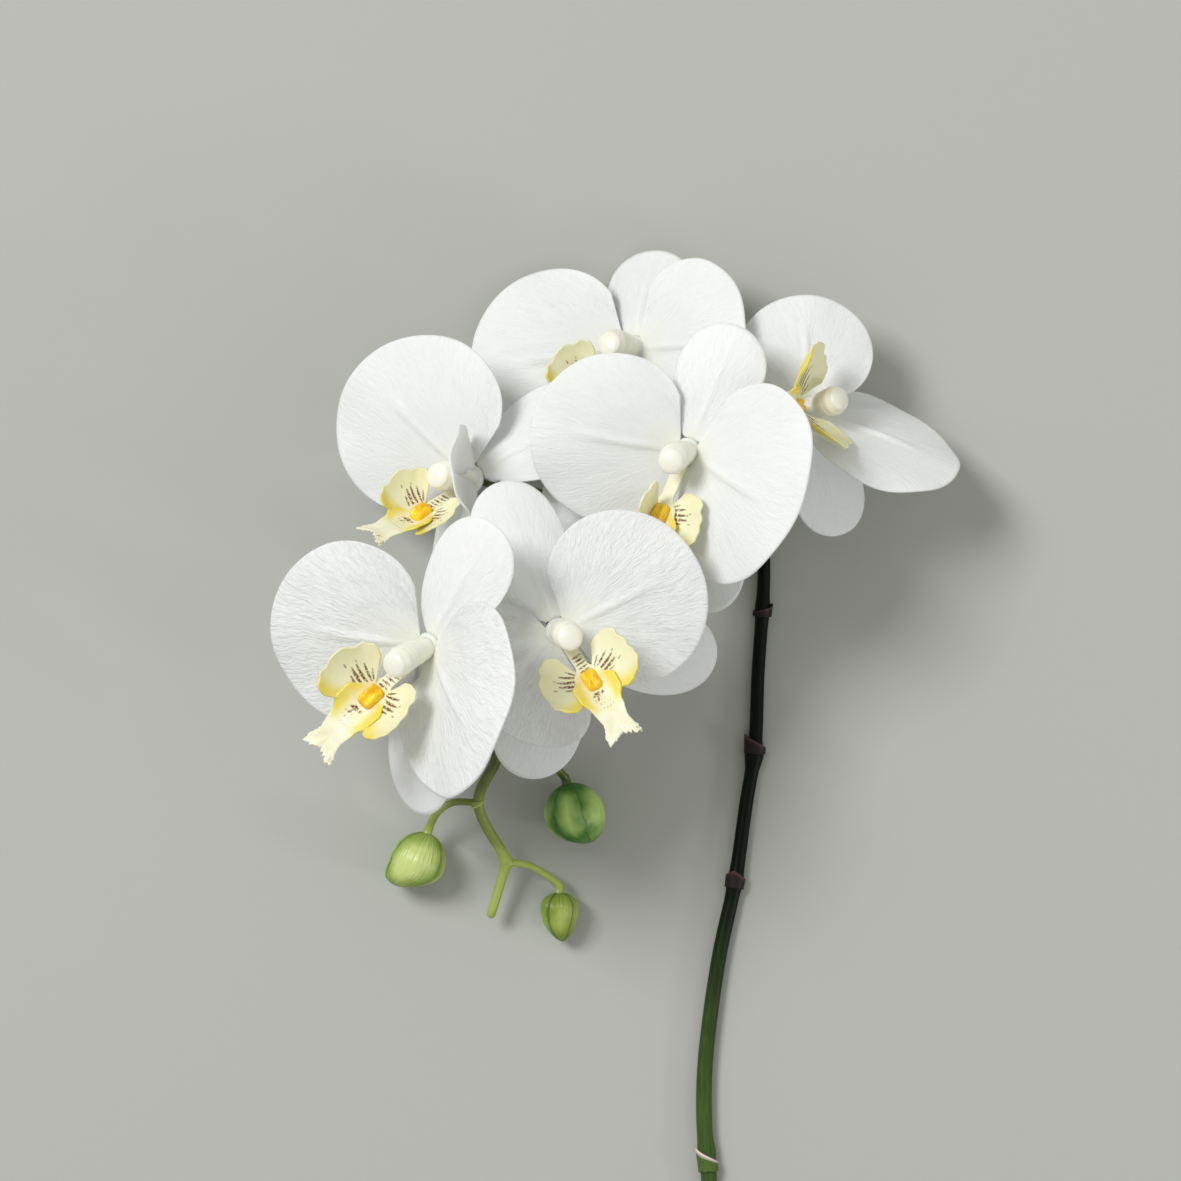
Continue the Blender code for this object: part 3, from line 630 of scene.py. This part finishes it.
def seated(letter, around, start, seat, lift, twist, turned=0):
    """The place of a blade: round the bloom's middle, then turned, twisted and lifted."""
    heading = Matrix.Rotation(math.radians(around + turned), 4, "Z")
    place = Matrix.Translation(heading @ Vector((0, start, seat)))
    tilt = Euler((math.radians(lift), math.radians(twist), math.radians(around + turned)), "YXZ")
    return bloom_frame(letter) @ place @ tilt.to_matrix().to_4x4()


def wall_of(ob, thickness):
    """Gives a piece its thickness on its front, as its CAD node has."""
    wall = ob.modifiers.new("Wall", "SOLIDIFY")
    wall.thickness = thickness * MM
    wall.offset = 1
    wall.use_even_offset = False
    return ob


def sepal_point(t, u):
    """The back of a sepal. Its rim is a blunt ellipse, a little wider past the middle."""
    angle = t * SEPAL_END
    rim = Vector((SEPAL_WIDTH / 2 * math.sin(angle) * (1 + 0.22 * math.cos(angle)), 0, 0))
    rim.y = SEPAL_LENGTH / 2 * (1 + math.cos(angle))
    place = Vector((t * SEPAL_CLAW / 2, 0, 0)).lerp(rim, u)
    side = place.x / (SEPAL_WIDTH / 2)
    out = place.y / SEPAL_LENGTH
    place.z = -SEPAL_CUP * side * side * ease(out * 2) - SEPAL_BEND * out * out
    rib = SEPAL_RIB * math.exp(-((place.x / SEPAL_RIB_WIDTH) ** 2))
    place.z += rib * ease(out * 6) * ease((0.75 - out) * 4)
    return place


sepal_mat = petal_tissue("Orchid sepal, soft white tissue", 76, 0.5)
for letter in BLOOMS:
    for part in ("sepal_dorsal", "sepal_left", "sepal_right"):
        around, lift, twist, length, width = BLOOMS[letter][part]
        bm = sheet(*SEPAL_GRID, sepal_point)
        bmesh.ops.scale(bm, vec=(width, length, 1), verts=bm.verts)
        bm.transform(seated(letter, around, SEPAL_START, SEPAL_SEAT, lift, twist))
        node_name = "bloom_" + letter + "_" + part
        sepal = wall_of(piece(node_name + "_tissue", bm, "petal", sepal_mat), BLADE_WALL)
        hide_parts(node_name)


# The petals
# Two in each bloom, laid over the sepals: broad, nearly round blades on a narrow claw, arched back
# at their sides, with a raised midrib and fine veins that fan out to a softly waved rim.

PETAL_LENGTH = 57.0
PETAL_SPREAD = math.radians(82)
PETAL_CLAW = 8.0
CLAW_CLEAR = 2.5
PETAL_START = 3.0
PETAL_SEAT = SEPAL_SEAT + BLADE_ROOM + CLEAR
# How far a petal rises past its claw, its sides bend back and its rim waves and ripples, and how
# high its midrib is, mm
PETAL_RISE = 4.0
PETAL_DROP = 9.0
PETAL_WAVE = 0.9
PETAL_RIPPLE = 0.5
PETAL_RIB = 1.0
# How far a petal's lower shoulder turns up towards its bloom's front, mm
SHOULDERS = {"bloom_a_petal_right": 4.5, "bloom_b_petal_right": 1.5}
# Squares across a petal and along it
PETAL_GRID = (120, 44)
chance = random.Random(11)


def petal_shape(phase, shoulder):
    """The back of a petal. Its rim is a broad kidney round the claw, waved by its own phase, and
    one of its shoulders may turn up."""

    def point(t, u):
        angle = t * PETAL_SPREAD
        reach = PETAL_LENGTH * math.cos(0.95 * angle) ** 0.6
        rim = Vector((reach * math.sin(angle), reach * math.cos(angle), 0))
        place = Vector((t * PETAL_CLAW / 2, 0, 0)).lerp(rim, u**0.8)
        side = place.x / PETAL_LENGTH
        out = place.y / PETAL_LENGTH
        away = ease(place.length / PETAL_LENGTH * 1.6)
        place.z = away * (PETAL_RISE * out * (1 - 2 * out) - PETAL_DROP * side * side)
        place.z += PETAL_WAVE * u**3 * math.sin(5 * angle + 1)
        place.z += PETAL_RIPPLE * u**4 * math.sin(11 * angle + phase)
        place.z += shoulder * math.exp(-(((t - 1) / 0.28) ** 2)) * ease(u * 1.4)
        across = place.x / (1.2 + 1.4 * u)
        place.z += PETAL_RIB * math.exp(-across * across) * ease(u * 5) * ease((0.74 - u) * 3.5)
        return place

    return point


# The two front blooms show their veins clearly, and the others are smoother
veined_mat = petal_tissue("Orchid petal, veined white tissue", 140, 1.0)
smooth_mat = petal_tissue("Orchid petal, smooth white tissue", 140, 0.45)
for letter in BLOOMS:
    petal_mat = veined_mat if letter in "ab" else smooth_mat
    for part in ("petal_left", "petal_right"):
        around, lift, twist, length, width = BLOOMS[letter][part]
        node_name = "bloom_" + letter + "_" + part
        shape = petal_shape(chance.uniform(0, 6), SHOULDERS.get(node_name, 0))
        bm = sheet(*PETAL_GRID, shape)
        bmesh.ops.scale(bm, vec=(width, length, 1), verts=bm.verts)
        seat = PETAL_SEAT + CLAW_CLEAR * abs(math.sin(math.radians(twist)))
        bm.transform(seated(letter, around, PETAL_START, seat, lift, twist))
        petal = wall_of(piece(node_name + "_tissue", bm, "petal", petal_mat), BLADE_WALL)
        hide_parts(node_name)


# The lips
# The third petal of each bloom is its lip, one waxy cream piece: a barred claw, two side lobes that
# stand up with brown stripes and yellow edges, a middle lobe that ends frayed, and a yellow callus.

LIP_LENGTH = 48.0
CALLUS_AT = 22.0
LIP_START = 3.2
LIP_SEAT = PETAL_SEAT + BLADE_ROOM + CLEAR
LIP_WALL = 0.7
LOBE_REACH = 18.5
# The lip's floor: how far its middle arches up, its end drops, its sides turn up at 1 mm out, its
# end waves and its end is cut in, and how long its fray and its ragged sides are, mm
LIP_ARCH = 2.0
LIP_DROP = 3.5
LIP_TROUGH = 0.06
LIP_WAVE = 0.7
LIP_NOTCH = 2.7
LIP_FRAY = (1.1, 0.9)
LIP_RAGGED = 0.9
# The degrees that a side lobe's middle points back, half those that it spreads over, and those that
# it curls forward from its root to its rim
LOBE_BACK = -9
LOBE_SPREAD = 46
LOBE_CURL = 18
# Where a side lobe's root lies beside the middle and over the floor, half the root's length along
# the lip, and how far the lobe's rim waves, mm
LOBE_SIDE = 2.0
LOBE_HEIGHT = 2.4
LOBE_ROOT = 4.0
LOBE_WAVE = 0.7
# Squares across and along the floor, a side lobe and the callus
FLOOR_GRID = (28, 110)
LOBE_GRID = (64, 44)
CALLUS_GRID = (40, 24)
# The callus: half its width and length, how high its middle lies over the lip's floor, half its
# height, and how deep its groove and lumps are
CALLUS_HALF = (2.9, 4.3)
CALLUS_HEIGHT = 3.4
CALLUS_RISE = 2.4
CALLUS_GROOVE = 1.0
CALLUS_LUMPS = 0.7
# Half the lip's width at distances from its seat: claw, waist, middle lobe and frayed end
LIP_WIDTHS = [(0, 2.4), (14, 2.4), (20, 5.4), (25, 8.2), (30, 8.0), (35, 5.8), (40, 4.8), (48, 6.4)]
# Brown marks in mm: from, to and width. On the floor x is sideways and y is out from the seat; on a
# side lobe x runs round its root and y out from it.
CLAW_BARS = [((-1.9, y), (1.7, y + 0.5), 0.95) for y in (9.5, 11.3, 13.0, 14.8, 16.4)]
FLOOR_DOTS = [
    ((x, y), (x, y + 0.9), 0.32) for x in (-2.6, -1.3, 0.1, 1.4, 2.7) for y in (28.3, 30.2, 32.1, 34.3)
]
LIP_SPOT = [
    ((0.2, 27.9), (2.0, 28.6), 2.3), ((-1.7, 27.8), (-0.9, 28.4), 1.3), ((1.0, 29.4), (1.6, 31.0), 0.8),
]
LOBE_STRIPES = [
    ((-0.3, 4.2), (-1.0, 8.4), 0.5), ((-1.1, 3.8), (-2.5, 10.6), 0.75), ((-1.9, 3.6), (-4.1, 11.4), 0.7),
    ((-2.8, 3.8), (-5.7, 10.4), 0.6), ((-3.6, 4.4), (-6.8, 8.8), 0.45), ((-1.5, 11.6), (-1.8, 13.2), 0.35),
    ((-4.5, 12.0), (-5.0, 13.2), 0.3),
]


def mark_at(spot, strokes):
    """How brown a spot is, 0 to 1, from the strokes near it."""
    best = 0
    for start, end, width in strokes:
        start, end = Vector(start), Vector(end)
        line = end - start
        t = min(max((spot - start).dot(line) / line.dot(line), 0), 1)
        gap = (spot - start - line * t).length - width / 2 * (1 - 0.5 * abs(2 * t - 1))
        best = max(best, 1 - ease(gap / 0.3 + 0.5))
    return best


def floor_shape(forward):
    """The lip's claw and middle lobe, from its seat to the frayed end, which is cut in two. Its end
    may curl forward."""

    def point(t, u):
        along = u * LIP_LENGTH
        end = ease((u - 0.75) * 4)
        fray = LIP_FRAY[0] * noise.noise(Vector((t * 9, 3.1, 0)))
        fray += LIP_FRAY[1] * noise.noise(Vector((t * 26, 8.7, 0)))
        ragged = LIP_RAGGED * noise.noise(Vector((u * 40, 5.0 * t, 2))) * ease((u - 0.6) * 5) * abs(t) ** 3
        x = t * (between(LIP_WIDTHS, along) + ragged)
        z = LIP_ARCH * math.sin(math.pi * u) - LIP_DROP * end + LIP_TROUGH * x * x * ease((0.85 - u) * 4)
        z += LIP_WAVE * end * noise.noise(Vector((t * 1.6, u * 7, 1)))
        z += forward * max(2 * u - 1, 0) ** 1.5
        y = along - LIP_NOTCH * end * (1 - abs(t)) ** 1.4 + fray * ease((u - 0.9) * 12)
        return Vector((x, y, z))

    return point


def lobe_shape(side, root_rise, size):
    """A side lobe: a rounded fan that spreads back from beside the callus and curls forward."""

    def point(t, u):
        angle = math.radians(LOBE_BACK + LOBE_SPREAD * t)
        reach = size * LOBE_REACH * (1 - 0.42 * abs(t) ** 3.4) * u
        reach *= 1 + (0.03 * math.sin(7 * t + side) + 0.07 * noise.noise(Vector((t * 5, side, 6)))) * u
        rise = math.radians(root_rise + LOBE_CURL * u)
        x = LOBE_SIDE + 0.6 * t + reach * math.cos(angle) * math.cos(rise)
        y = CALLUS_AT + 1.0 + LOBE_ROOT * t + reach * math.sin(angle) * (0.75 + 0.25 * math.cos(rise))
        z = LOBE_HEIGHT + reach * math.sin(rise) + LOBE_WAVE * u**3 * math.sin(7 * t + 2 * side)
        return Vector((side * x, y, z))

    return point


def callus_point(t, u):
    """The callus: a squarish cushion with a groove along its top."""
    angle = math.pi * t
    level = -math.cos(math.pi * u)
    girth = math.sin(math.pi * u) ** 0.6
    x = CALLUS_HALF[0] * girth * math.copysign(abs(math.cos(angle)) ** 0.5, math.cos(angle))
    y = CALLUS_HALF[1] * girth * math.copysign(abs(math.sin(angle)) ** 0.5, math.sin(angle))
    groove = CALLUS_GROOVE * math.exp(-((x / 0.6) ** 2)) * ease(level * 2)
    lumps = CALLUS_LUMPS * noise.noise(Vector((x / 1.6, y / 1.6, 4)))
    z = CALLUS_HEIGHT + CALLUS_RISE * level * (1.1 - 0.1 * level) - groove + lumps
    return Vector((x, CALLUS_AT + y, z))


def lip_tissue(name, pale):
    """Waxy cream lip tissue that turns yellow at its edges, with brown marks broken by grain."""
    mat, shader = finish(
        name, Roughness=0.38, Subsurface_Weight=0.25, Subsurface_Radius=(1.0, 0.9, 0.5),
        Subsurface_Scale=0.0015,
    )
    yellow = node(mat, "Attribute", {}, attribute_name="yellow").outputs["Fac"]
    brown = node(mat, "Attribute", {}, attribute_name="brown").outputs["Fac"]
    at = node(mat, "TexCoord", {}).outputs["Object"]
    patch = node(mat, "TexNoise", {"Vector": at, "Scale": 220, "Detail": 3})
    uneven = node(mat, "Math", {0: patch.outputs[0], 1: -0.5}, operation="ADD")
    spread = node(
        mat, "Math", {0: uneven.outputs[0], 1: 0.7, 2: yellow}, operation="MULTIPLY_ADD", use_clamp=True
    )
    tissue = node(mat, "Mix", {0: spread.outputs[0], 6: linear(pale), 7: linear("F2DE5A")}, data_type="RGBA")
    # Grain 0.7 mm across breaks the marks up, as sap marks are on the real lip
    grain = node(mat, "TexNoise", {"Vector": at, "Scale": 1500, "Detail": 2})
    broken = node(mat, "MapRange", {0: grain.outputs[0], 1: 0.32, 2: 0.5})
    worn = node(mat, "Math", {0: brown, 1: broken.outputs[0]}, operation="MULTIPLY")
    marked = node(
        mat, "Mix", {0: worn.outputs[0], 6: tissue.outputs[2], 7: linear("69300A")}, data_type="RGBA"
    )
    bump = node(mat, "Bump", {"Height": patch.outputs[0], "Strength": 0.3, "Distance": 0.0004})
    mat.node_tree.links.new(marked.outputs[2], shader.inputs["Base Color"])
    mat.node_tree.links.new(bump.outputs[0], shader.inputs["Normal"])
    return mat


def painted(bm, yellow_at, brown_at):
    """Stores how yellow and how brown each corner is, read from its t and u."""
    yellow = bm.verts.layers.float.new("yellow")
    brown = bm.verts.layers.float.new("brown")
    uv = bm.loops.layers.uv["Growth"]
    for vert in bm.verts:
        across, along = vert.link_loops[0][uv].uv
        t = across * 2 - 1
        vert[yellow] = yellow_at(t, along)
        vert[brown] = brown_at(t, along)
    return bm


def floor_yellow(t, u):
    """Yellow along both sides of the floor's widest part, and a breath of it between them."""
    along = u * LIP_LENGTH
    bulge = ease((abs(t) - 0.35) * 2.2) * ease((along - 19) / 4) * ease((38 - along) / 6)
    return 0.85 * bulge + 0.12 * ease((along - 12) / 8) * ease((40 - along) / 8)


def floor_brown(bars):
    """The floor's brown: the claw's bars, the spot past the callus, and fainter dots."""

    def brown(t, u):
        along = u * LIP_LENGTH
        spot = Vector((t * between(LIP_WIDTHS, along), along))
        return max(mark_at(spot, bars + LIP_SPOT), 0.75 * mark_at(spot, FLOOR_DOTS))

    return brown


def lobe_yellow(t, u):
    """Yellow along a side lobe's edge towards the lip's end, and a breath of it at the rim."""
    return 0.85 * ease((t - 0.35) * 2) * ease(u * 2.2) + 0.1 * ease((u - 0.55) * 2)


def lobe_brown(t, u):
    """A side lobe's brown stripes, which fan out from its root."""
    out = u * LOBE_REACH
    angle = math.radians(LOBE_BACK + LOBE_SPREAD * t)
    return mark_at(Vector((angle * out, out)), LOBE_STRIPES)


def plain(t, u):
    """No brown anywhere."""
    return 0


lip_mat = lip_tissue("Orchid lip, waxy cream and yellow", "F7F4D6")
lobe_mat = lip_tissue("Orchid lip side lobe, waxy cream", "F1F0CC")
# Firm waxy tissue: shiny, light glows in it, in orange and yellow patches 4 mm across
callus_mat, callus_shader = finish(
    "Orchid callus, waxy orange yellow", Roughness=0.35, Subsurface_Weight=0.2,
    Subsurface_Radius=(1.0, 0.6, 0.1), Subsurface_Scale=0.0015,
)
callus_at = node(callus_mat, "TexCoord", {}).outputs["Object"]
callus_patch = node(callus_mat, "TexNoise", {"Vector": callus_at, "Scale": 260, "Detail": 2})
callus_mix = node(callus_mat, "MapRange", {0: callus_patch.outputs[0], 1: 0.4, 2: 0.65})
callus_colour = node(
    callus_mat, "Mix", {0: callus_mix.outputs[0], 6: linear("F7BA0C"), 7: linear("FFDC26")},
    data_type="RGBA",
)
callus_mat.node_tree.links.new(callus_colour.outputs[2], callus_shader.inputs["Base Color"])

for letter in BLOOMS:
    turned, lift, size, forward, right_rise, left_rise, lobe_size = BLOOMS[letter]["lip"]
    place = seated(letter, 180, LIP_START, LIP_SEAT, lift, 0, turned) @ Matrix.Scale(size, 4)
    name = "bloom_" + letter + "_lip"
    # Bloom e, seen from further back, has a plain claw and a plain upper lobe
    bars = [] if letter == "e" else CLAW_BARS
    bm = painted(sheet(*FLOOR_GRID, floor_shape(forward)), floor_yellow, floor_brown(bars))
    bm.transform(place)
    lip = wall_of(piece(name + "_tissue", bm, "lip", lip_mat), LIP_WALL)
    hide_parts(name)
    for side_name, side, rise in (("left", -1, left_rise), ("right", 1, right_rise)):
        lobe_marks = plain if (letter, side) == ("e", 1) else lobe_brown
        bm = sheet(*LOBE_GRID, lobe_shape(side, rise, lobe_size))
        bm = painted(bm, lobe_yellow, lobe_marks)
        if side < 0:
            bmesh.ops.reverse_faces(bm, faces=bm.faces)
        bm.transform(place)
        wall_of(piece(name + "_lobe_" + side_name, bm, "lip", lobe_mat), LIP_WALL)
    bm = sheet(*CALLUS_GRID, callus_point, closed=True)
    bm.transform(place)
    piece(name + "_callus", bm, "lip", callus_mat)


# The columns
# The pale waxy knob over each lip's claw, where the pollen is: a short neck, then a rounded head
# whose cap meets it in a fine crease.

COLUMN_HEIGHT = 19.0
# How far the top bends over the lip, where the round end of the cap starts and its radius there,
# and where the crease under the cap runs and how deep it is, mm
COLUMN_BEND = 2.4
CAP_AT = 17.2
CAP_RADIUS = 4.45
CAP_ROUND = 1.85
CREASE_AT = 13.2
CREASE_DEPTH = 0.28
# Squares round a column and along it
COLUMN_GRID = (48, 60)
COLUMN_PROFILE = [(0, 4.1), (3, 4.2), (7, 4.6), (11.5, 5.0), (14.5, 5.2), (CAP_AT, CAP_RADIUS)]
# Smooth waxy tissue: a clear highlight, light glows in it, in faint patches 7 mm across
column_mat, column_shader = finish(
    "Orchid column, waxy ivory", Roughness=0.3, Subsurface_Weight=0.35, Subsurface_Radius=(1.0, 0.95, 0.7),
    Subsurface_Scale=0.003,
)
column_at = node(column_mat, "TexCoord", {}).outputs["Object"]
column_patch = node(column_mat, "TexNoise", {"Vector": column_at, "Scale": 150, "Detail": 2})
column_colour = node(
    column_mat, "Mix", {0: column_patch.outputs[0], 6: linear("EEECDC"), 7: linear("F7F5EA")},
    data_type="RGBA",
)
column_mat.node_tree.links.new(column_colour.outputs[2], column_shader.inputs["Base Color"])


def column_point(t, u):
    """The column's skin, from its foot to its top, bent over the lip."""
    angle = math.pi * t
    height = COLUMN_HEIGHT * math.sin(math.pi / 2 * u)
    girth = between(COLUMN_PROFILE, height)
    if height > CAP_AT:
        girth = CAP_RADIUS * math.sqrt(max(1 - ((height - CAP_AT) / CAP_ROUND) ** 2, 0.0001))
    crease = height - CREASE_AT - 0.8 * math.sin(angle)
    girth -= CREASE_DEPTH * math.exp(-((crease / 0.35) ** 2))
    x = girth * math.cos(angle)
    y = girth * math.sin(angle) * 1.04
    return Vector((x, y - COLUMN_BEND * (height / COLUMN_HEIGHT) ** 2, height))


for letter in BLOOMS:
    bm = sheet(*COLUMN_GRID, column_point, closed=True)
    bm.transform(bloom_frame(letter) @ Matrix.Translation((0, 0, LIP_SEAT)))
    column = piece("bloom_" + letter + "_column_skin", bm, "column", column_mat)
    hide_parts("bloom_" + letter + "_column")


# The surface, the light and the camera
# A plain pale surface that the spray lies on, one broad soft light from the upper left, two weak
# ones from the right, one of them low, and a camera straight above, at the photograph's angle.

SURFACE_HALF = 4
# Each light's name, its place and its size in metres, and its power in watts
LIGHTS = (
    ("key_light", (-1.9, 1.55, 3.0), 1.3, 99),
    ("fill_light", (1.4, -0.4, 1.6), 1.4, 3),
    ("edge_light", (1.5, -0.5, 0.6), 0.2, 4),
)
LIT_POINT = Vector((0, 0.1, 0))
CAMERA_HEIGHT = 2.0
SENSOR_WIDTH = 36
# The photograph's width in pixels, and the size of one on the surface, mm
PHOTO_WIDTH = 1181
PIXEL_SIZE = 0.364
# The light of the room, its colour and its strength
ROOM_COLOUR = (1, 0.995, 0.965, 1)
ROOM_STRENGTH = 0.42

floor_bm = bmesh.new()
bmesh.ops.create_grid(floor_bm, x_segments=1, y_segments=1, size=SURFACE_HALF)
floor_mesh = bpy.data.meshes.new("surface")
floor_bm.to_mesh(floor_mesh)
floor_bm.free()
# Board with a matt coat of paint, which shows no highlight
floor_mat = finish("Pale matt board", Base_Color=linear("B4B6B0"), Roughness=0.85)[0]
floor_mesh.materials.append(floor_mat)
floor = bpy.data.objects.new("surface", floor_mesh)
bpy.context.scene.collection.objects.link(floor)

for name, place, size, power in LIGHTS:
    lamp = bpy.data.lights.new(name, "AREA")
    lamp.size = size
    lamp.energy = power
    light = bpy.data.objects.new(name, lamp)
    light.location = place
    light.rotation_euler = (LIT_POINT - Vector(place)).to_track_quat("-Z", "Y").to_euler()
    bpy.context.scene.collection.objects.link(light)
world = bpy.data.worlds.new("studio")
world.use_nodes = True
world.node_tree.nodes["Background"].inputs["Color"].default_value = ROOM_COLOUR
world.node_tree.nodes["Background"].inputs["Strength"].default_value = ROOM_STRENGTH
bpy.context.scene.world = world
bpy.context.scene.view_settings.view_transform = "Standard"

# The camera looks straight down on the middle of the drawing
camera_data = bpy.data.cameras.new("camera")
camera_data.sensor_width = SENSOR_WIDTH
camera_data.lens = SENSOR_WIDTH * CAMERA_HEIGHT / (PHOTO_WIDTH * PIXEL_SIZE * MM)
camera = bpy.data.objects.new("camera", camera_data)
camera.location = (-ORIGIN.x * MM, -ORIGIN.y * MM, CAMERA_HEIGHT)
bpy.context.scene.collection.objects.link(camera)
bpy.context.scene.camera = camera
